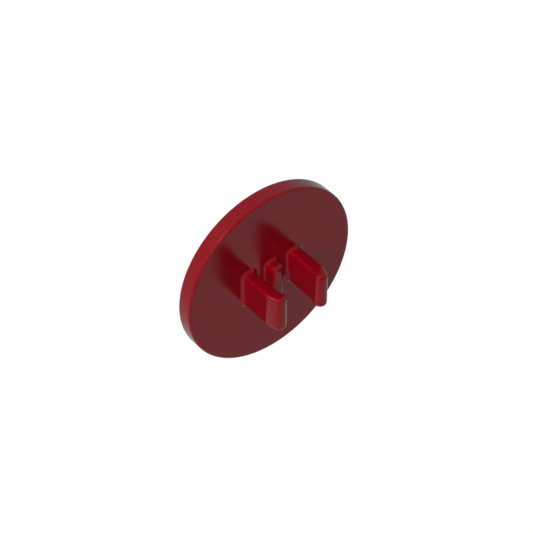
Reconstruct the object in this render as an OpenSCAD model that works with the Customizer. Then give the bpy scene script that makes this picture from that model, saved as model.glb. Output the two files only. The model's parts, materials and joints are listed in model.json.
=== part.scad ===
// Clip-on marker disc: a round plastic disc with a snap clip moulded on its back.
// The clip's two jaws spring apart, close round an upright rod, and hold it against a rib.
//
// Frame: the origin is on the rod's axis, half way up the clip. +Z is up along the rod,
// the clip opens towards -Y, and the disc's plain show face looks towards +Y.

/* [Disc] */
// Diameter of the disc
disc_d = 16; // [12:0.5:30]
// Thickness of the disc
disc_t = 1.45; // [1:0.05:3]
// Radius round both edges of the disc
disc_edge_r = 0.2; // [0.05:0.05:0.4]

/* [Rod seat] */
// Diameter of the rod that the clip holds
rod_d = 3.2; // [2.5:0.1:4]
// Radial play between the rod and its seat
rod_play = 0.1; // [0.02:0.01:0.18]
// Depth that the seat is sunk into each jaw's flat inner face
seat_sink = 0.03; // [0.02:0.01:0.06]
// Distance from the rod's axis to the back of the disc
stand_off = 2.62; // [2.6:0.02:3]

/* [Jaws] */
// Height of the jaws and of the rib, measured along the rod
jaw_h = 3.2; // [2.5:0.1:5]
// Wall of each jaw outside the seat
jaw_wall = 1.1; // [0.9:0.01:1.3]
// How far each jaw wraps round the rod past its widest point, in degrees
wrap = 25; // [15:1:32]
// Radius along the edges of the jaws and of the rib
edge_r = 0.28; // [0.1:0.02:0.3]
// Radius where the jaws and the rib grow out of the disc
root_r = 0.27; // [0.1:0.01:0.3]

/* [Rib] */
// Width of the rib between the jaws
rib_w = 1.04; // [0.8:0.02:1.4]

/* [Flexure] */
// Height of a jaw's bending line above the disc
bend_h = 0.7; // [0.66:0.02:0.9]
// Play round the knuckle that stands for the bending root
knuckle_play = 0.02; // [0.01:0.01:0.03]
// Drop from the bending line to the rim of its socket
socket_drop = 0.25; // [0.22:0.01:0.3]

/* [Hidden] */
$fn = 96;

seat_r = rod_d / 2 + rod_play;
jaw_out_x = seat_r + jaw_wall;
jaw_in_x = seat_r - seat_sink;
jaw_t = jaw_out_x - jaw_in_x;
jaw_mid_x = (jaw_out_x + jaw_in_x) / 2;
bend_y = stand_off - bend_h;
knuckle_r = jaw_t / 2;
socket_top = bend_h - socket_drop;
overrun = 1; // how far a cutting shape runs past what it cuts
plastic = [0.72, 0.03, 0.06];

// ---- 2D profiles ----

// Rectangle w by h about its centre, with its corners rounded to r.
module rounded_rect(w, h, r) {
    square([w - 2 * r, h], center = true);
    square([w, h - 2 * r], center = true);
    for (sx = [-1, 1], sy = [-1, 1])
        translate([sx * (w / 2 - r), sy * (h / 2 - r)])
            circle(r);
}

// Half of a rounded_rect, from its middle line outwards, for turning about that line.
module half_rounded_rect(w, h, r) {
    intersection() {
        rounded_rect(2 * w, h, r);
        translate([0, -h])
            square([w + overrun, 2 * h]);
    }
}

// Corner between two square faces, filled to a hollow radius r.
module hollow_corner(r) {
    difference() {
        square(r);
        translate([r, r])
            circle(r);
    }
}

// ---- Shapes shared by the jaws and the rib ----

// Bar of w by jaw_h with rounded long edges, from y0 to y1, centred at x.
module edge_rounded_bar(x, w, y0, y1) {
    translate([x, y1, 0])
        rotate([90, 0, 0])
            linear_extrude(y1 - y0)
                rounded_rect(w, jaw_h, edge_r);
}

// Half a round as wide as a jaw, with the same rounded edges, bulging towards +Y.
module jaw_end() {
    rotate_extrude(angle = 180)
        half_rounded_rect(jaw_t / 2, jaw_h, edge_r);
}

// Hollow fillet round the foot of a bar of width w that stands on the disc, centred at x.
module root_fillet(x, w) {
    straight_x = w - 2 * edge_r;
    straight_z = jaw_h - 2 * edge_r;
    translate([x, stand_off, 0]) {
        for (s = [0, 1])
            mirror([s, 0, 0])
                translate([w / 2, 0, -straight_z / 2])
                    linear_extrude(straight_z)
                        mirror([0, 1, 0])
                            hollow_corner(root_r);
        for (s = [0, 1])
            mirror([0, 0, s])
                translate([-straight_x / 2, 0, jaw_h / 2])
                    rotate([0, 90, 0])
                        linear_extrude(straight_x)
                            rotate(180)
                                hollow_corner(root_r);
        for (sx = [-1, 1], sz = [-1, 1])
            translate([sx * straight_x / 2, 0, sz * straight_z / 2])
                rotate([90, 0, 0])
                    rotate_extrude() {
                        square([edge_r, root_r]);
                        translate([edge_r, 0])
                            hollow_corner(root_r);
                    }
    }
}

// Space that the rod's seat takes up.
module seat_cut() {
    cylinder(r = seat_r, h = 2 * jaw_h, center = true);
}

// ---- Sub-parts, the right-hand one of each pair ----

// Round knuckle on the bending line, straight arm, and a hook that wraps the rod to a round nose.
// They all share one section, and the rod's seat is cut from them last.
module jaw() {
    difference() {
        union() {
            translate([jaw_mid_x, bend_y, 0])
                jaw_end();
            edge_rounded_bar(jaw_mid_x, jaw_t, 0, bend_y);
            rotate(-wrap)
                rotate_extrude(angle = wrap)
                    translate([jaw_mid_x, 0])
                        rounded_rect(jaw_t, jaw_h, edge_r);
            rotate(-wrap)
                translate([jaw_mid_x, 0, 0])
                    rotate(180)
                        jaw_end();
        }
        seat_cut();
    }
}

// Foot of a jaw on the disc, hollowed for the knuckle that stands for the bending root.
module jaw_root() {
    difference() {
        union() {
            edge_rounded_bar(jaw_mid_x, jaw_t, stand_off - socket_top, stand_off);
            root_fillet(jaw_mid_x, jaw_t);
        }
        translate([jaw_mid_x, bend_y, 0])
            cylinder(r = knuckle_r + knuckle_play, h = 2 * jaw_h, center = true);
    }
}

// Rib between the jaws that the rod is pressed against, with a hollow end to suit the rod.
module stop_rib() {
    color(plastic)
        union() {
            difference() {
                edge_rounded_bar(0, rib_w, 0, stand_off);
                seat_cut();
            }
            root_fillet(0, rib_w);
        }
}

// The plate itself, with both edges rounded.
module disc() {
    color(plastic)
        translate([0, stand_off + disc_t / 2, 0])
            rotate([90, 0, 0])
                rotate_extrude()
                    half_rounded_rect(disc_d / 2, disc_t, disc_edge_r);
}

module right_jaw_root() { color(plastic) jaw_root(); }
module left_jaw_root() { color(plastic) mirror([1, 0, 0]) jaw_root(); }
module right_jaw() { color(plastic) jaw(); }
module left_jaw() { color(plastic) mirror([1, 0, 0]) jaw(); }

disc();
stop_rib();
left_jaw_root();
right_jaw_root();
left_jaw();
right_jaw();
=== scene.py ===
"""Looks of a clip-on marker disc: a glossy red disc with a two-jawed snap clip moulded on its back.

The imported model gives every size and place. Each visible skin is a surface worked out with numpy as
a grid of two parameters: the disc is a profile turned about its axis, and the jaws and the rib are a
rounded section carried along a plan path. All lengths are in metres.
"""

from __future__ import annotations

import json
import logging
import math
from dataclasses import dataclass
from enum import Enum
from typing import Any, ClassVar

import bmesh
import bpy
import numpy as np
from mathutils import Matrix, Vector

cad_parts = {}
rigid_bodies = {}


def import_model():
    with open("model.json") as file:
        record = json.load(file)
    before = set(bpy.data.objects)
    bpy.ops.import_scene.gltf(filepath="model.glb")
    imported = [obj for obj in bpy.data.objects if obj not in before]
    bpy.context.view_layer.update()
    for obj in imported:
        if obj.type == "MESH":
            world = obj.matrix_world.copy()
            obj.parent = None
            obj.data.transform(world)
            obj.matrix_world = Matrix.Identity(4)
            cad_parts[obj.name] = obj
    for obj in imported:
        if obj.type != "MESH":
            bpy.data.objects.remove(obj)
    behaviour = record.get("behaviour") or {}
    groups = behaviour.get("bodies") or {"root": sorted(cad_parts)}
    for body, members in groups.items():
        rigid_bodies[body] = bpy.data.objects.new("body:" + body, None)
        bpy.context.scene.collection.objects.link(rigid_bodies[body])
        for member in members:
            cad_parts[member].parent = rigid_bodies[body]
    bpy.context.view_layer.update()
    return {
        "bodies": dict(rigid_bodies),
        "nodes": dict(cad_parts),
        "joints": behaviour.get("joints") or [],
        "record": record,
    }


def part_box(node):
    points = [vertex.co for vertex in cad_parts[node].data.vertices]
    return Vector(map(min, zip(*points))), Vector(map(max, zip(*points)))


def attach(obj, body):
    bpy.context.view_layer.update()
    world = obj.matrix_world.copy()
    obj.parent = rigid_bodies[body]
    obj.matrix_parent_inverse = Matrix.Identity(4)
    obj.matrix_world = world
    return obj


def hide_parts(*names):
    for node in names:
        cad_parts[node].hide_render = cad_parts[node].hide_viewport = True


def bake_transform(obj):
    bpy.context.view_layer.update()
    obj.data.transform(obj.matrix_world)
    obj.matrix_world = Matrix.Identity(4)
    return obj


MM = 0.001
EDGE_ATTRIBUTE = "edge_mask"
QUAD_CORNERS = 4

Direction = tuple[float, float, float]
Colour = tuple[float, float, float]

log = logging.getLogger("marker_disc")


class Side(Enum):
    """Which jaw of the clip a piece belongs to; the value is the sign of its x."""

    LEFT = -1
    RIGHT = 1


# ---------------------------------------------------------------- sizes read from the frame


@dataclass(frozen=True)
class ClipSizes:
    """Sizes of the moulding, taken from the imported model's boxes, mounts and joints."""

    disc_radius: float
    face_y: float
    front_y: float
    half_height: float
    seat_radius: float
    jaw_outer_x: float
    wrap: float
    rib_half_width: float
    hinge_y: float

    @classmethod
    def from_frame(cls, frame: dict[str, Any]) -> "ClipSizes":
        """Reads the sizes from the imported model.


        Returns:
            The sizes of this moulding.
        """
        disc_low, disc_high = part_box("disc")
        jaw_low, jaw_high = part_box("right_jaw")
        root_low, root_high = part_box("right_jaw_root")
        _, rib_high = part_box("stop_rib")
        seat = next(m for m in frame["record"]["mounts"] if m["name"] == "rod_clip")
        hinge = next(j for j in frame["joints"] if j["child"] == "right_jaw")
        seat_radius = seat["dims"]["r_mm"] * MM
        middle_x = hinge["pos_m"][0]
        nose_radius = jaw_high.x - middle_x
        root_flare = root_high.x - jaw_high.x
        return cls(
            disc_radius=disc_high.x,
            face_y=disc_low.y,
            front_y=disc_high.y,
            half_height=jaw_high.z,
            seat_radius=seat_radius,
            jaw_outer_x=jaw_high.x,
            wrap=math.asin((-jaw_low.y - nose_radius) / middle_x),
            rib_half_width=rib_high.x - root_flare,
            hinge_y=hinge["pos_m"][1],
        )


# ---------------------------------------------------------------- grids and meshes


def quarter(steps: int) -> np.ndarray:
    """Angles from 0 to a right angle, both ends included."""
    return np.linspace(0.0, np.pi / 2, steps + 1)


def held_line(steps: int, hold: float = 0.02) -> np.ndarray:
    """Even shares from 0 to 1, with one more point close to each end to keep a flat face flat.

    Args:
        steps: number of even steps between the two extra points.
        hold: how far the extra points lie from the ends, as a share of the length.

    Returns:
        The shares in rising order, 0 and 1 included.
    """
    return np.concatenate(([0.0], np.linspace(hold, 1.0 - hold, steps + 1), [1.0]))


def grid_faces(rows: int, columns: int) -> np.ndarray:
    """Corners of the quads of a grid that closes on itself along its columns.

    Args:
        rows: number of rings.
        columns: number of points in each ring.

    Returns:
        One row of four vertex numbers for each quad.
    """
    row, column = np.meshgrid(np.arange(rows - 1), np.arange(columns), indexing="ij")
    onward = (column + 1) % columns
    first = row * columns
    corners = (first + column, first + onward, first + columns + onward, first + columns + column)
    return np.stack(corners, axis=-1).reshape(-1, QUAD_CORNERS)


def skin(name: str, points: np.ndarray, edge: np.ndarray) -> bpy.types.Object:
    """Makes a closed, smooth-shaded object from a grid of rings.

    Points that fall together, as at a pole or along a closing seam, are merged, and the faces are
    turned outwards.

    Args:
        name: the piece's name.
        points: the grid, rings by points by xyz, in metres.
        edge: 0 to 1 for each grid point, how much of it lies on a rounded edge.

    Returns:
        The new object, linked to the scene with its origin at the frame's origin.
    """
    rows, columns = points.shape[:2]
    faces = grid_faces(rows, columns)
    mesh = bpy.data.meshes.new(name)
    mesh.vertices.add(rows * columns)
    mesh.vertices.foreach_set("co", points.reshape(-1).astype(np.float32))
    mesh.loops.add(faces.size)
    mesh.loops.foreach_set("vertex_index", faces.reshape(-1).astype(np.int32))
    mesh.polygons.add(len(faces))
    starts = np.arange(0, faces.size, QUAD_CORNERS, dtype=np.int32)
    mesh.polygons.foreach_set("loop_start", starts)
    mesh.update(calc_edges=True)
    mask = mesh.attributes.new(EDGE_ATTRIBUTE, "FLOAT", "POINT")
    mask.data.foreach_set("value", np.ascontiguousarray(edge.reshape(-1), dtype=np.float32))
    close_and_orient(mesh)
    mesh.polygons.foreach_set("use_smooth", np.ones(len(mesh.polygons), dtype=bool))
    mesh.update()
    piece = bpy.data.objects.new(name, mesh)
    bpy.context.scene.collection.objects.link(piece)
    return piece


def close_and_orient(mesh: bpy.types.Mesh, merge: float = 1e-7) -> None:
    """Merges points closer than merge, drops what that flattens, and turns the faces outwards.

    Args:
        mesh: the mesh to clean.
        merge: the distance within which points become one, in metres.
    """
    work = bmesh.new()
    work.from_mesh(mesh)
    bmesh.ops.remove_doubles(work, verts=work.verts, dist=merge)
    bmesh.ops.dissolve_degenerate(work, edges=work.edges, dist=merge)
    bmesh.ops.recalc_face_normals(work, faces=work.faces)
    work.to_mesh(mesh)
    work.free()


# ---------------------------------------------------------------- the rounded section


@dataclass(frozen=True)
class RoundedSection:
    """A rounded rectangle stood upright, written as shares, so that any station can scale it.

    across runs from 0 on the near side to 1 on the far side, inset is the share of the corner
    radius that a point is drawn in from the side, straight is the share of the upright side's
    half height, and corner is the share of the corner radius above that.
    """

    across: np.ndarray
    inset: np.ndarray
    straight: np.ndarray
    corner: np.ndarray

    @classmethod
    def build(cls, corner_steps: int = 10, side_steps: int = 10, top_steps: int = 6) -> "RoundedSection":
        """Goes once round the section: near side up, top across, far side down, bottom back.

        Args:
            corner_steps: steps round each corner.
            side_steps: steps up each upright side.
            top_steps: steps across the top and the bottom.

        Returns:
            The section, with no point repeated.
        """
        turn = quarter(corner_steps)
        rise = held_line(side_steps) * 2.0 - 1.0
        flat = held_line(top_steps)
        zero_turn, one_turn = np.zeros_like(turn), np.ones_like(turn)
        zero_rise, zero_flat, one_flat = np.zeros_like(rise), np.zeros_like(flat), np.ones_like(flat)
        runs = (
            (zero_rise, zero_rise, rise, zero_rise),
            (zero_turn, 1.0 - np.cos(turn), one_turn, np.sin(turn)),
            (flat, one_flat, one_flat, one_flat),
            (one_turn, 1.0 - np.sin(turn), one_turn, np.cos(turn)),
            (zero_rise + 1.0, zero_rise, -rise, zero_rise),
            (one_turn, 1.0 - np.cos(turn), -one_turn, -np.sin(turn)),
            (1.0 - flat, one_flat, -one_flat, -one_flat),
            (zero_turn, 1.0 - np.sin(turn), -one_turn, -np.cos(turn)),
        )
        across, inset, straight, corner = (
            np.concatenate([run[:-1] for run in column]) for column in zip(*runs)
        )
        return cls(across=across, inset=inset, straight=straight, corner=corner)

    def edge_mask(self) -> np.ndarray:
        """How much each point lies on a corner: 4 * inset * (1 - inset), which is 0 on a flat."""
        return np.clip(4.0 * self.inset * (1.0 - self.inset), 0.0, 1.0)


@dataclass(frozen=True)
class Stations:
    """Stations along a bar's plan path: where its two sides are, and how its section is scaled.

    near and far are the plan points of the two sides, near_in and far_in the unit plan directions
    from each side into the plastic, half the half height, corner the corner radius, and worn a
    mask from 0 to 1 of how much the station itself lies on a rounded edge.
    """

    near: np.ndarray
    far: np.ndarray
    near_in: np.ndarray
    far_in: np.ndarray
    half: np.ndarray
    corner: np.ndarray
    worn: np.ndarray

    @classmethod
    def join(cls, *parts: "Stations") -> "Stations":
        """Puts runs of stations one after another."""
        names = ("near", "far", "near_in", "far_in", "half", "corner", "worn")
        return cls(**{n: np.concatenate([getattr(p, n) for p in parts]) for n in names})

    @classmethod
    def even(
        cls,
        sides: tuple[np.ndarray, np.ndarray],
        inward: tuple[np.ndarray, np.ndarray],
        half: float,
        corner: float,
        worn: np.ndarray | None = None,
    ) -> "Stations":
        """Stations that all have one half height and one corner radius.

        Args:
            sides: plan points of the near and of the far side.
            inward: unit plan directions from each side into the plastic.
            half: half the height.
            corner: the corner radius.
            worn: the mask of each station, left out where none lies on a rounded edge.

        Returns:
            The stations.
        """
        ones = np.ones(len(sides[0]))
        return cls(
            near=sides[0],
            far=sides[1],
            near_in=inward[0],
            far_in=inward[1],
            half=half * ones,
            corner=corner * ones,
            worn=0.0 * ones if worn is None else worn,
        )

    def surface(self, section: RoundedSection) -> tuple[np.ndarray, np.ndarray]:
        """The grid of points of the section carried along the stations.

        A point is the near side's point and the far side's point, each drawn in by its share of
        the corner radius and then mixed by the share across. Its height is the share of the
        straight half height, half - corner, plus the share of the corner radius.

        Args:
            section: the rounded section.

        Returns:
            The points as rings by points by xyz, and the edge mask as rings by points.
        """
        drawn = (self.corner[:, None] * section.inset)[..., None]
        near = self.near[:, None, :] + self.near_in[:, None, :] * drawn
        far = self.far[:, None, :] + self.far_in[:, None, :] * drawn
        share = section.across[None, :, None]
        plan = near * (1.0 - share) + far * share
        straight = (self.half - self.corner)[:, None] * section.straight
        height = straight + self.corner[:, None] * section.corner
        mask = np.maximum(self.worn[:, None], section.edge_mask()[None, :])
        return np.concatenate([plan, height[..., None]], axis=-1), mask


@dataclass(frozen=True)
class Foot:
    """The foot of a bar on the disc: a skirt sunk into the plate, then a hollow fillet."""

    face_y: float
    fillet: float
    sunk: float = 0.06 * MM
    steps: int = 14

    def stations(self, near_x: float, far_x: float, half: float, corner: float) -> Stations:
        """Stations from inside the disc out to where the fillet ends on the bar.

        At angle a round the fillet the side stands fillet * (1 - sin a) proud of the bar, at a
        height of fillet * (1 - cos a) above the disc. The first station is drawn to one point.

        Args:
            near_x: x of the bar's near side.
            far_x: x of the bar's far side.
            half: half height of the bar.
            corner: corner radius of the bar.

        Returns:
            The foot's stations.
        """
        turn = quarter(self.steps)
        proud = np.concatenate(([self.fillet, self.fillet], self.fillet * (1.0 - np.sin(turn))))
        above = np.concatenate(([-self.sunk, -self.sunk], self.fillet * (1.0 - np.cos(turn))))
        y = self.face_y - above
        count = len(proud)
        near = np.stack([near_x - proud, y], axis=-1)
        far = np.stack([far_x + proud, y], axis=-1)
        middle = (near_x + far_x) / 2
        near[0, 0] = far[0, 0] = middle
        halves = half + proud
        corners = corner + proud
        halves[0] = corners[0] = 0.0
        toward = np.sign(far_x - near_x)
        ones = np.ones(count)
        return Stations(
            near=near,
            far=far,
            near_in=np.stack([toward * ones, 0 * ones], axis=-1),
            far_in=np.stack([-toward * ones, 0 * ones], axis=-1),
            half=halves,
            corner=corners,
            worn=np.zeros(count),
        )


# ---------------------------------------------------------------- the pieces


@dataclass
class MarkerPlate:
    """The round plate of the disc, with both its edges rounded.

    face_rings are the rings of points on each flat face, as shares of the face's radius.
    """

    sizes: ClipSizes
    edge_radius: float = 0.2 * MM
    turns: int = 320
    edge_steps: int = 12
    rim_steps: int = 4
    rim_hold: float = 0.04
    face_rings: tuple[float, ...] = (0.0, 0.25, 0.5, 0.75, 0.96, 0.995)

    def profile(self) -> tuple[np.ndarray, np.ndarray, np.ndarray]:
        """The plate's outline from the middle of its back, over the rim, to the middle of its face.

        Each rounded edge is a quarter turn. At angle a the back one stands edge radius *
        (1 - sin a) in from the rim and edge radius * (1 - cos a) in from the back, and the front
        one runs the other way round.

        Returns:
            Distance from the axis, y, and edge mask of each point.
        """
        s = self.sizes
        edge = self.edge_radius
        turn = quarter(self.edge_steps)
        back_r = (s.disc_radius - edge) * np.array(self.face_rings)
        front_r = back_r[::-1]
        back_turn_r = s.disc_radius - edge * (1.0 - np.sin(turn))
        back_turn_y = s.face_y + edge * (1.0 - np.cos(turn))
        front_turn_r = s.disc_radius - edge * (1.0 - np.cos(turn))
        front_turn_y = s.front_y - edge * (1.0 - np.sin(turn))
        rim = held_line(self.rim_steps, self.rim_hold)[1:-1]
        rim_y = back_turn_y[-1] * (1.0 - rim) + front_turn_y[0] * rim
        radius = np.concatenate(
            [back_r, back_turn_r, np.full(len(rim), s.disc_radius), front_turn_r, front_r]
        )
        y = np.concatenate(
            [
                np.full(len(back_r), s.face_y),
                back_turn_y,
                rim_y,
                front_turn_y,
                np.full(len(front_r), s.front_y),
            ]
        )
        bulge = np.sin(2.0 * turn)
        mask = np.concatenate(
            [np.zeros(len(back_r)), bulge, np.zeros(len(rim)), bulge, np.zeros(len(front_r))]
        )
        return radius, y, mask

    def build(self, material: bpy.types.Material) -> bpy.types.Object:
        """Turns the profile about the disc's axis.

        At angle a a profile point stands at x = radius * cos a and z = radius * sin a.

        Args:
            material: the finish of the plate.

        Returns:
            The plate, riding on the disc's body.
        """
        radius, y, mask = self.profile()
        angle = np.linspace(0.0, 2.0 * np.pi, self.turns, endpoint=False)
        x = radius[:, None] * np.cos(angle)
        z = radius[:, None] * np.sin(angle)
        points = np.stack([x, np.broadcast_to(y[:, None], x.shape), z], axis=-1)
        edge = np.broadcast_to(mask[:, None], x.shape)
        piece = skin("marker_plate", points, edge)
        piece.data.materials.append(material)
        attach(piece, "disc")
        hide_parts("disc")
        return piece


@dataclass
class SpringJaw:
    """One springy jaw: its foot on the disc, a straight arm, and a hook with a round nose.

    bend_start and bend_reach are not used.
    """

    sizes: ClipSizes
    side: Side
    edge_radius: float = 0.28 * MM
    root_fillet: float = 0.27 * MM
    bend_start: float = 0.05 * MM
    bend_reach: float = 0.5 * MM
    arm_steps: int = 22
    hook_steps: int = 24
    nose_steps: int = 22

    def arm(self) -> Stations:
        """Stations of the straight arm, from the end of the foot's fillet to the rod's widest.

        The sides stay at the seat's radius and at the jaw's outer x, while y goes from the
        fillet's end to 0.

        Returns:
            The arm's stations.
        """
        s = self.sizes
        y = (s.face_y - self.root_fillet) * (1.0 - held_line(self.arm_steps)[1:])
        ones = np.ones(len(y))
        near = np.stack([s.seat_radius * ones, y], axis=-1)
        far = np.stack([s.jaw_outer_x * ones, y], axis=-1)
        inward = np.stack([ones, 0 * ones], axis=-1)
        return Stations.even((near, far), (inward, -inward), s.half_height, self.edge_radius)

    def hook(self) -> Stations:
        """Stations of the hook, whose sides are two arcs about the rod's axis.

        At angle a past the rod's widest the outward direction is (cos a, -sin a), and each side
        stands at its own radius along it.

        Returns:
            The hook's stations.
        """
        s = self.sizes
        angle = np.linspace(0.0, s.wrap, self.hook_steps + 1)[1:]
        outward = np.stack([np.cos(angle), -np.sin(angle)], axis=-1)
        sides = (s.seat_radius * outward, s.jaw_outer_x * outward)
        return Stations.even(sides, (outward, -outward), s.half_height, self.edge_radius)

    def nose(self) -> Stations:
        """Stations of the round nose, on which the two sides close to one upright line.

        About the nose's middle, at angle b, the sides stand at the nose radius times
        -/+ cos b outward plus sin b onward.

        Returns:
            The nose's stations.
        """
        s = self.sizes
        outward = np.array([math.cos(s.wrap), -math.sin(s.wrap)])
        onward = np.array([-math.sin(s.wrap), -math.cos(s.wrap)])
        radius = (s.jaw_outer_x - s.seat_radius) / 2
        middle = (s.jaw_outer_x + s.seat_radius) / 2 * outward
        turn = quarter(self.nose_steps)[1:, None]
        near_out = -np.cos(turn) * outward + np.sin(turn) * onward
        far_out = np.cos(turn) * outward + np.sin(turn) * onward
        sides = (middle + radius * near_out, middle + radius * far_out)
        return Stations.even(sides, (-near_out, -far_out), s.half_height, self.edge_radius)

    def build(self, material: bpy.types.Material) -> bpy.types.Object:
        """Builds the jaw's skin and hides the moving jaw and its root.

        Args:
            material: the finish of the jaw.

        Returns:
            The jaw, which stands for the moving jaw and its root.
        """
        s = self.sizes
        foot = Foot(face_y=s.face_y, fillet=self.root_fillet)
        stations = Stations.join(
            foot.stations(s.seat_radius, s.jaw_outer_x, s.half_height, self.edge_radius),
            self.arm(),
            self.hook(),
            self.nose(),
        )
        points, mask = stations.surface(RoundedSection.build())
        points[..., 0] *= self.side.value
        word = self.side.name.lower()
        piece = skin(f"{word}_jaw_skin", points, mask)
        piece.data.materials.append(material)
        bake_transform(piece)
        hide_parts(f"{word}_jaw", f"{word}_jaw_root")
        return piece


@dataclass
class StopRib:
    """The short rib between the jaws, whose flat end the rod is pressed against.

    end_corner is at least edge_radius, or the section would fold over itself round the corner.
    """

    sizes: ClipSizes
    edge_radius: float = 0.28 * MM
    root_fillet: float = 0.27 * MM
    end_corner: float = 0.28 * MM
    side_steps: int = 6
    corner_steps: int = 12
    end_steps: int = 8
    hold: float = 0.03

    def bar(self) -> Stations:
        """Stations of the rib's straight sides, of the round corners of its end, and of the end.

        The end is flat, at the height where the rod's seat meets the rib's sides:
        y = sqrt(seat radius squared - rib half width squared). It closes to one upright line in
        the middle.

        Returns:
            The bar's stations, from the foot's fillet to the middle of the end.
        """
        s = self.sizes
        flat_half = s.rib_half_width - self.end_corner
        end_y = math.sqrt(s.seat_radius**2 - s.rib_half_width**2)
        corner_y = end_y + self.end_corner
        share = held_line(self.side_steps, self.hold)[1:]
        turn = quarter(self.corner_steps)[1:]
        across = flat_half * (1.0 - held_line(self.end_steps, self.hold)[1:])
        side_count, end_count = len(share), len(across)
        foot_y = s.face_y - self.root_fillet
        x = np.concatenate(
            [
                np.full(side_count, s.rib_half_width),
                flat_half + self.end_corner * np.cos(turn),
                across,
            ]
        )
        y = np.concatenate(
            [
                foot_y * (1.0 - share) + corner_y * share,
                corner_y - self.end_corner * np.sin(turn),
                np.full(end_count, end_y),
            ]
        )
        out_x = np.concatenate([np.ones(side_count), np.cos(turn), np.zeros(end_count)])
        out_y = np.concatenate([np.zeros(side_count), -np.sin(turn), -np.ones(end_count)])
        worn = np.concatenate([np.zeros(side_count), np.sin(2.0 * turn), np.zeros(end_count)])
        sides = (np.stack([-x, y], axis=-1), np.stack([x, y], axis=-1))
        inward = (np.stack([out_x, -out_y], axis=-1), np.stack([-out_x, -out_y], axis=-1))
        return Stations.even(sides, inward, s.half_height, self.edge_radius, worn)

    def build(self, material: bpy.types.Material) -> bpy.types.Object:
        """Builds the rib's skin.

        Args:
            material: the finish of the rib.

        Returns:
            The rib, riding on the disc's body.
        """
        s = self.sizes
        w = s.rib_half_width
        foot = Foot(face_y=s.face_y, fillet=self.root_fillet)
        stations = Stations.join(
            foot.stations(-w, w, s.half_height, self.edge_radius),
            self.bar(),
        )
        points, mask = stations.surface(RoundedSection.build())
        piece = skin("stop_rib_skin", points, mask)
        piece.data.materials.append(material)
        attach(piece, "disc")
        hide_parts("stop_rib")
        return piece


# ---------------------------------------------------------------- shared effects


class Shades:
    """Short ways to add and join the nodes of a world or a material."""

    def __init__(self, tree: bpy.types.NodeTree, empty: bool = True) -> None:
        """Keeps the node tree, and empties it unless told not to.

        Args:
            tree: the tree that the nodes go into.
            empty: whether to take out the nodes that it has.
        """
        self.tree = tree
        if empty:
            tree.nodes.clear()

    def add(self, kind: str, **settings: Any) -> bpy.types.Node:
        """Adds a node.

        Args:
            kind: the node's type, without the leading "ShaderNode".
            settings: the node's own properties and their values.

        Returns:
            The new node.
        """
        node = self.tree.nodes.new("ShaderNode" + kind)
        for key, value in settings.items():
            setattr(node, key, value)
        return node

    def feed(self, source: Any, socket: bpy.types.NodeSocket) -> None:
        """Links an output to an input, or sets the input to a plain value.

        Args:
            source: the output or the value.
            socket: the input.
        """
        if isinstance(source, bpy.types.NodeSocket):
            self.tree.links.new(source, socket)
        else:
            socket.default_value = source

    def work_out(self, kind: str, operation: str, values: tuple[Any, ...]) -> bpy.types.Node:
        """Adds a node that works something out, and feeds its inputs in order.

        Args:
            kind: the node's type, without the leading "ShaderNode".
            operation: the node's operation.
            values: one link or value for each of the inputs it uses.

        Returns:
            The new node.
        """
        node = self.add(kind, operation=operation)
        for value, socket in zip(values, node.inputs):
            self.feed(value, socket)
        return node

    def math(self, operation: str, *values: Any) -> bpy.types.NodeSocket:
        """Adds a Math node on the given links or numbers, and gives its result."""
        return self.work_out("Math", operation, values).outputs[0]

    def vector(self, operation: str, *values: Any) -> bpy.types.NodeSocket:
        """Adds a Vector Math node on the given links or vectors, and gives its result."""
        return self.work_out("VectorMath", operation, values).outputs["Vector"]

    def noise(self, place: Any, fineness: Any, detail: float) -> bpy.types.NodeSocket:
        """Adds a noise.

        Args:
            place: the coordinates it reads.
            fineness: its features per unit of those coordinates, a link or a number.
            detail: how many finer layers it has.

        Returns:
            The noise, from 0 to 1.
        """
        node = self.add("TexNoise")
        self.feed(place, node.inputs["Vector"])
        self.feed(fineness, node.inputs["Scale"])
        self.feed(detail, node.inputs["Detail"])
        return node.outputs["Fac"]

    def blend_colours(self, share: Any, first: Any, second: Any) -> bpy.types.NodeSocket:
        """Mixes two colours.

        Args:
            share: how much of the second colour there is, from 0 to 1.
            first: the colour at share 0.
            second: the colour at share 1.

        Returns:
            The mixed colour.
        """
        node = self.add("MixRGB")
        for value, label in ((share, "Fac"), (first, "Color1"), (second, "Color2")):
            self.feed(value, node.inputs[label])
        return node.outputs["Color"]

    def toward(self, view: bpy.types.NodeSocket, direction: Direction) -> bpy.types.NodeSocket:
        """The cosine between a view direction and a fixed direction."""
        fixed = Vector(direction).normalized()
        return self.work_out("VectorMath", "DOT_PRODUCT", (view, fixed)).outputs["Value"]


class SocketKind(Enum):
    """The kinds of socket that a shared effect has."""

    VALUE = "NodeSocketFloat"
    COLOUR = "NodeSocketColor"
    VECTOR = "NodeSocketVector"


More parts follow.
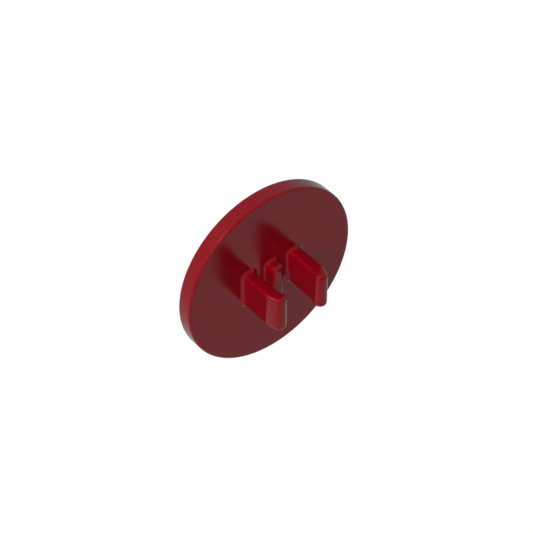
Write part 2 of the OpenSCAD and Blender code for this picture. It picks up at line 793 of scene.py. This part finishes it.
class Effect:
    """A shared effect: a shader node group with named inputs and outputs, made once."""

    name: str
    inputs: dict[str, SocketKind]
    outputs: dict[str, SocketKind]

    def fill(self, shades: Shades, given: Any, taken: Any) -> None:
        """Puts the effect's nodes into its group.

        Args:
            shades: where the nodes go.
            given: the group's inputs by name.
            taken: the group's outputs by name.
        """
        raise NotImplementedError

    def group(self) -> bpy.types.NodeTree:
        """Finds the effect's node group, or makes it the first time.

        Returns:
            The node group.
        """
        tree = bpy.data.node_groups.get(self.name)
        if tree is None:
            tree = bpy.data.node_groups.new(self.name, "ShaderNodeTree")
            for label, kind in self.inputs.items():
                tree.interface.new_socket(label, in_out="INPUT", socket_type=kind.value)
            for label, kind in self.outputs.items():
                tree.interface.new_socket(label, in_out="OUTPUT", socket_type=kind.value)
            given = tree.nodes.new("NodeGroupInput")
            taken = tree.nodes.new("NodeGroupOutput")
            self.fill(Shades(tree, empty=False), given.outputs, taken.inputs)
        return tree

    def place(self, shades: Shades, **values: Any) -> Any:
        """Places the effect in a material.

        Args:
            shades: the material's nodes.
            values: a link or a value for each of the effect's inputs.

        Returns:
            The placed group's outputs by name.
        """
        node = shades.add("Group", node_tree=self.group())
        for label, value in values.items():
            shades.feed(value, node.inputs[label])
        return node.outputs


class MouldGrain(Effect):
    """The mould's own surface: fine orange peel on slow waves.

    Height is the fine noise plus Swell times a slow one. The slow noise's fineness is slow_share
    of the fine one's.
    """

    slow_share = 0.1
    name = "mould_grain"
    inputs = {"Place": SocketKind.VECTOR, "Fineness": SocketKind.VALUE, "Swell": SocketKind.VALUE}
    outputs = {"Height": SocketKind.VALUE}

    def fill(self, shades: Shades, given: Any, taken: Any) -> None:
        """Adds the two noises.

        Args:
            shades: where the nodes go.
            given: the group's inputs by name.
            taken: the group's outputs by name.
        """
        broad = shades.math("MULTIPLY", given["Fineness"], self.slow_share)
        fine = shades.noise(given["Place"], given["Fineness"], detail=2.0)
        slow = shades.noise(given["Place"], broad, detail=1.0)
        shades.feed(shades.math("MULTIPLY_ADD", slow, given["Swell"], fine), taken["Height"])


class PigmentFlow(Effect):
    """Streaks left by the melt as it filled the mould.

    Colour is the given one, darkened by Depth where the streak noise is high and left as it is
    where the noise is low.
    """

    name = "pigment_flow"
    inputs = {
        "Path": SocketKind.VECTOR,
        "Colour": SocketKind.COLOUR,
        "Fineness": SocketKind.VALUE,
        "Depth": SocketKind.VALUE,
    }
    outputs = {"Colour": SocketKind.COLOUR}

    def fill(self, shades: Shades, given: Any, taken: Any) -> None:
        """Mixes the colour towards black by the streaks' share.

        Args:
            shades: where the nodes go.
            given: the group's inputs by name.
            taken: the group's outputs by name.
        """
        streak = shades.noise(given["Path"], given["Fineness"], detail=3.0)
        share = shades.math("MULTIPLY", streak, given["Depth"])
        black = (0.0, 0.0, 0.0, 1.0)
        shades.feed(shades.blend_colours(share, given["Colour"], black), taken["Colour"])


class EdgeWear(Effect):
    """Rounded edges that handling has rubbed brighter and paler.

    Worn is the edge mask times a noise that runs from none to all of Amount.
    """

    name = "edge_wear"
    inputs = {
        "Place": SocketKind.VECTOR,
        "Mask": SocketKind.VALUE,
        "Fineness": SocketKind.VALUE,
        "Amount": SocketKind.VALUE,
    }
    outputs = {"Worn": SocketKind.VALUE}

    def fill(self, shades: Shades, given: Any, taken: Any) -> None:
        """Multiplies the mask, the noise and the amount.

        Args:
            shades: where the nodes go.
            given: the group's inputs by name.
            taken: the group's outputs by name.
        """
        patches = shades.noise(given["Place"], given["Fineness"], detail=2.0)
        rubbed = shades.math("MULTIPLY", given["Mask"], patches)
        shades.feed(shades.math("MULTIPLY", rubbed, given["Amount"]), taken["Worn"])


class HandlingHaze(Effect):
    """Faint finger haze and settled dust, which only dull the gloss.

    Haze is Amount times the part of a broad noise that rises over its middle value.
    """

    middle = 0.5
    name = "handling_haze"
    inputs = {"Place": SocketKind.VECTOR, "Fineness": SocketKind.VALUE, "Amount": SocketKind.VALUE}
    outputs = {"Haze": SocketKind.VALUE}

    def fill(self, shades: Shades, given: Any, taken: Any) -> None:
        """Keeps the noise's high part and scales it.

        Args:
            shades: where the nodes go.
            given: the group's inputs by name.
            taken: the group's outputs by name.
        """
        cloud = shades.noise(given["Place"], given["Fineness"], detail=4.0)
        raised = shades.math("MAXIMUM", shades.math("SUBTRACT", cloud, self.middle), 0.0)
        shades.feed(shades.math("MULTIPLY", raised, given["Amount"]), taken["Haze"])


# ---------------------------------------------------------------- finishes


class Flow(Enum):
    """Which way the melt ran: outwards from the disc's middle, or along a jaw from its root."""

    OUTWARD = "outward"
    ALONG = "along"


@dataclass(frozen=True)
class PlasticFinish:
    """Glossy through-coloured plastic, as it comes out of a polished mould.

    Heights are metres. Fineness values are features per metre, except that streak_fineness is
    features per unit of the flow coordinates. Paces are how much those coordinates change per
    metre across the melt's way, along it, and through the plate. The others are shares, apart
    from the index of refraction.
    """

    name: str
    flow: Flow
    colour: Colour = (0.282, 0.0012, 0.0080)
    worn_colour: Colour = (0.34, 0.008, 0.014)
    roughness: float = 0.152
    ior: float = 1.46
    streak_fineness: float = 9.0
    streak_depth: float = 0.09
    grain_fineness: float = 5200.0
    grain_swell: float = 1.6
    grain_height: float = 0.0006 * MM
    wear: float = 0.30
    wear_fineness: float = 2600.0
    haze: float = 0.16
    haze_fineness: float = 420.0
    polish: float = 0.05
    across_pace: float = 0.3 / MM
    along_pace: float = 0.03 / MM
    through_pace: float = 0.2 / MM

    def path(self, shades: Shades, place: bpy.types.NodeSocket) -> bpy.types.NodeSocket:
        """Coordinates that change slowly along the melt's way and quickly across it.

        Outwards, they are the unit direction from the disc's middle, plus the place times the
        pace along in x and z and the pace through in y. Along a jaw, which runs in y, they are the
        place times the pace across in x and z and the pace along in y.

        Args:
            shades: the material's nodes.
            place: the object coordinates.

        Returns:
            The flow coordinates.
        """
        if self.flow is Flow.ALONG:
            paces = (self.across_pace, self.along_pace, self.across_pace)
            return shades.vector("MULTIPLY", place, paces)
        flat = shades.vector("MULTIPLY", place, (1.0, 0.0, 1.0))
        heading = shades.vector("NORMALIZE", flat)
        paces = (self.along_pace, self.through_pace, self.along_pace)
        return shades.vector("ADD", heading, shades.vector("MULTIPLY", place, paces))

    def build(self) -> bpy.types.Material:
        """Makes the material.

        Returns:
            The new material.
        """
        material = bpy.data.materials.new(self.name)
        material.use_nodes = True
        shades = Shades(material.node_tree)
        place = shades.add("TexCoord").outputs["Object"]
        mask = shades.add("Attribute", attribute_name=EDGE_ATTRIBUTE).outputs["Fac"]
        flow = PigmentFlow().place(
            shades,
            Path=self.path(shades, place),
            Colour=(*self.colour, 1.0),
            Fineness=self.streak_fineness,
            Depth=self.streak_depth,
        )
        wear = EdgeWear().place(
            shades, Place=place, Mask=mask, Fineness=self.wear_fineness, Amount=self.wear
        )
        haze = HandlingHaze().place(
            shades, Place=place, Fineness=self.haze_fineness, Amount=self.haze
        )
        grain = MouldGrain().place(
            shades, Place=place, Fineness=self.grain_fineness, Swell=self.grain_swell
        )
        worn_colour = (*self.worn_colour, 1.0)
        colour = shades.blend_colours(wear["Worn"], flow["Colour"], worn_colour)
        dull = shades.math("ADD", haze["Haze"], self.roughness)
        polished = shades.math("MULTIPLY_ADD", wear["Worn"], -self.polish, dull)
        bump = shades.add("Bump")
        bump.inputs["Distance"].default_value = self.grain_height
        shades.feed(grain["Height"], bump.inputs["Height"])
        shader = shades.add("BsdfPrincipled")
        shader.inputs["IOR"].default_value = self.ior
        shades.feed(colour, shader.inputs["Base Color"])
        shades.feed(polished, shader.inputs["Roughness"])
        shades.feed(bump.outputs["Normal"], shader.inputs["Normal"])
        out = shades.add("OutputMaterial")
        shades.feed(shader.outputs["BSDF"], out.inputs["Surface"])
        return material


# ---------------------------------------------------------------- studio


@dataclass(frozen=True)
class Lamp:
    """A broad distant lamp, which leaves no spot in the gloss.

    direction is where its light comes from, and width is how wide it looks from the object.
    Without shadow it lights what it faces whatever stands between, as a light box all round would.
    """

    name: str
    direction: Direction
    strength: float
    width: float = math.radians(40.0)
    shadow: bool = False

    def build(self) -> bpy.types.Object:
        """Makes the lamp.

        Returns:
            The lamp, linked to the scene.
        """
        data = bpy.data.lights.new(self.name, "SUN")
        data.energy = self.strength
        data.angle = self.width
        data.use_shadow = self.shadow
        lamp = bpy.data.objects.new(self.name, data)
        lamp.rotation_mode = "QUATERNION"
        lamp.rotation_quaternion = Vector(self.direction).to_track_quat("Z", "Y")
        lamp.visible_glossy = False
        bpy.context.scene.collection.objects.link(lamp)
        return lamp


@dataclass(frozen=True)
class SoftSpot:
    """A soft spot in the surroundings: its direction, how narrow it is, and its peak.

    A peak below 0 makes a dark spot.
    """

    direction: Direction
    power: float
    peak: float


@dataclass(frozen=True)
class Surroundings:
    """What stands round the object: white to the camera, soft light and dark to the plastic.

    The matt colour is lit by ambient and by the sky, a broad soft spot. The gloss sees gloss_level,
    less gloss_fall times the cosine of the angle to dark_side, plus a narrow bright spot and a
    broad dark one. A spot adds its peak times the cosine of the angle to its direction, raised to
    its power, and adds nothing past a right angle from it.
    """

    ambient: float = 0.005
    sky: SoftSpot = SoftSpot((-0.34, 0.29, 0.89), 3.6, 0.83)
    gloss_level: float = 0.375
    gloss_fall: float = 0.225
    dark_side: Direction = (-0.40, -0.64, 0.65)
    spots: tuple[SoftSpot, ...] = (
        SoftSpot((-0.57, 0.29, 0.77), 130.0, 4.2),
        SoftSpot((-0.35, -0.80, 0.42), 6.0, -0.13),
    )

    @staticmethod
    def with_spot(shades: Shades, view: Any, spot: SoftSpot, base: Any) -> bpy.types.NodeSocket:
        """Adds a soft spot to a strength.

        Args:
            shades: where the nodes go.
            view: the view direction.
            spot: the soft spot.
            base: the strength so far, a link or a number.

        Returns:
            The strength with the spot on it.
        """
        facing = shades.math("MAXIMUM", shades.toward(view, spot.direction), 0.0)
        glow = shades.math("POWER", facing, spot.power)
        return shades.math("MULTIPLY_ADD", glow, spot.peak, base)

    def gloss(self, shades: Shades, view: bpy.types.NodeSocket) -> bpy.types.NodeSocket:
        """What the gloss sees in each direction.

        Args:
            shades: where the nodes go.
            view: the view direction.

        Returns:
            The strength of what it sees.
        """
        darkness = shades.toward(view, self.dark_side)
        total = shades.math("MULTIPLY_ADD", darkness, -self.gloss_fall, self.gloss_level)
        for spot in self.spots:
            total = self.with_spot(shades, view, spot, total)
        return total

    def build(self) -> bpy.types.World:
        """Makes the world and gives it to the scene.

        Returns:
            The new world.
        """
        world = bpy.data.worlds.new("studio")
        world.use_nodes = True
        shades = Shades(world.node_tree)
        path = shades.add("LightPath")
        matt, gloss, seen = (shades.add("Background") for _ in range(3))
        view = shades.add("TexCoord").outputs["Generated"]
        shades.feed(self.with_spot(shades, view, self.sky, self.ambient), matt.inputs["Strength"])
        shades.feed(self.gloss(shades, view), gloss.inputs["Strength"])
        for node in (matt, gloss, seen):
            node.inputs["Color"].default_value = (1.0, 1.0, 1.0, 1.0)
        lit = shades.add("MixShader")
        shades.feed(path.outputs["Is Glossy Ray"], lit.inputs[0])
        shades.feed(matt.outputs[0], lit.inputs[1])
        shades.feed(gloss.outputs[0], lit.inputs[2])
        whole = shades.add("MixShader")
        shades.feed(path.outputs["Is Camera Ray"], whole.inputs[0])
        shades.feed(lit.outputs[0], whole.inputs[1])
        shades.feed(seen.outputs[0], whole.inputs[2])
        out = shades.add("OutputWorld")
        shades.feed(whole.outputs[0], out.inputs["Surface"])
        bpy.context.scene.world = world
        return world


@dataclass(frozen=True)
class Floor:
    """A plain pale floor, wide enough to fill the view, that only the camera sees."""

    drop: float = 60.0 * MM
    size: float = 6.0

    def build(self) -> bpy.types.Object:
        """Makes the floor and its white finish.

        Returns:
            The floor, linked to the scene.
        """
        corner = np.array([[-1.0, -1.0], [1.0, -1.0], [1.0, 1.0], [-1.0, 1.0]]) * self.size / 2
        points = np.column_stack([corner, np.full(len(corner), -self.drop)])
        mesh = bpy.data.meshes.new("floor")
        mesh.from_pydata(points.tolist(), [], [(0, 1, 2, 3)])
        material = bpy.data.materials.new("floor_white")
        material.use_nodes = True
        shades = Shades(material.node_tree)
        white = shades.add("Emission")
        out = shades.add("OutputMaterial")
        shades.feed(white.outputs[0], out.inputs["Surface"])
        mesh.materials.append(material)
        floor = bpy.data.objects.new("floor", mesh)
        floor.visible_diffuse = False
        floor.visible_glossy = False
        bpy.context.scene.collection.objects.link(floor)
        return floor


@dataclass(frozen=True)
class Viewpoint:
    """Where the camera stands: its angles round the object, its distance, lens and aim.

    Nothing closer than nearest or further than farthest shows.
    """

    azimuth: float = -38.33
    elevation: float = 43.33
    distance: float = 140.0 * MM
    lens: float = 120.4
    aim: Direction = (-0.007 * MM, 3.226 * MM, 0.489 * MM)
    nearest: float = 1.0 * MM
    farthest: float = 100.0

    def build(self) -> bpy.types.Object:
        """Makes the camera and gives it to the scene.

        It stands at its distance from the aim along (sin a cos e, -cos a cos e, sin e), for
        azimuth a and elevation e.

        Returns:
            The camera.
        """
        a, e = math.radians(self.azimuth), math.radians(self.elevation)
        back = Vector((math.sin(a) * math.cos(e), -math.cos(a) * math.cos(e), math.sin(e)))
        data = bpy.data.cameras.new("camera")
        data.lens = self.lens
        data.clip_start = self.nearest
        data.clip_end = self.farthest
        camera = bpy.data.objects.new("camera", data)
        camera.location = Vector(self.aim) + back * self.distance
        camera.rotation_mode = "QUATERNION"
        camera.rotation_quaternion = (-back).to_track_quat("-Z", "Y")
        bpy.context.scene.collection.objects.link(camera)
        bpy.context.scene.camera = camera
        return camera


@dataclass(frozen=True)
class Studio:
    """The plain pale floor, the soft lights and the camera.

    The key light is two lamps from one side: one that reaches round what stands in its way, and a
    weaker one that casts the shadows.
    """

    key_side: ClassVar[Direction] = (-0.70, -0.42, 0.57)
    lamps: tuple[Lamp, ...] = (
        Lamp("key_lamp", key_side, 1.85),
        Lamp("shade_lamp", key_side, 0.95, shadow=True),
        Lamp("back_lamp", (0.45, 0.75, -0.48), 3.0),
    )

    def build(self) -> None:
        """Sets up the whole studio."""
        bpy.context.scene.view_settings.view_transform = "Standard"
        Viewpoint().build()
        Floor().build()
        Surroundings().build()
        for lamp in self.lamps:
            lamp.build()


def main() -> None:
    """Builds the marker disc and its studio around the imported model."""
    logging.basicConfig(level=logging.INFO, format="%(name)s: %(message)s")
    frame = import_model()
    sizes = ClipSizes.from_frame(frame)
    log.info("sizes: %s", sizes)
    plate_plastic = PlasticFinish("red_plate_plastic", Flow.OUTWARD, roughness=0.195).build()
    clip_plastic = PlasticFinish("red_clip_plastic", Flow.ALONG, streak_fineness=6.0).build()
    pieces = [
        MarkerPlate(sizes).build(plate_plastic),
        SpringJaw(sizes, Side.LEFT).build(clip_plastic),
        SpringJaw(sizes, Side.RIGHT).build(clip_plastic),
        StopRib(sizes).build(clip_plastic),
    ]
    for piece in pieces:
        log.info("%s: %d faces", piece.name, len(piece.data.polygons))
    Studio().build()


if __name__ == "__main__":
    main()
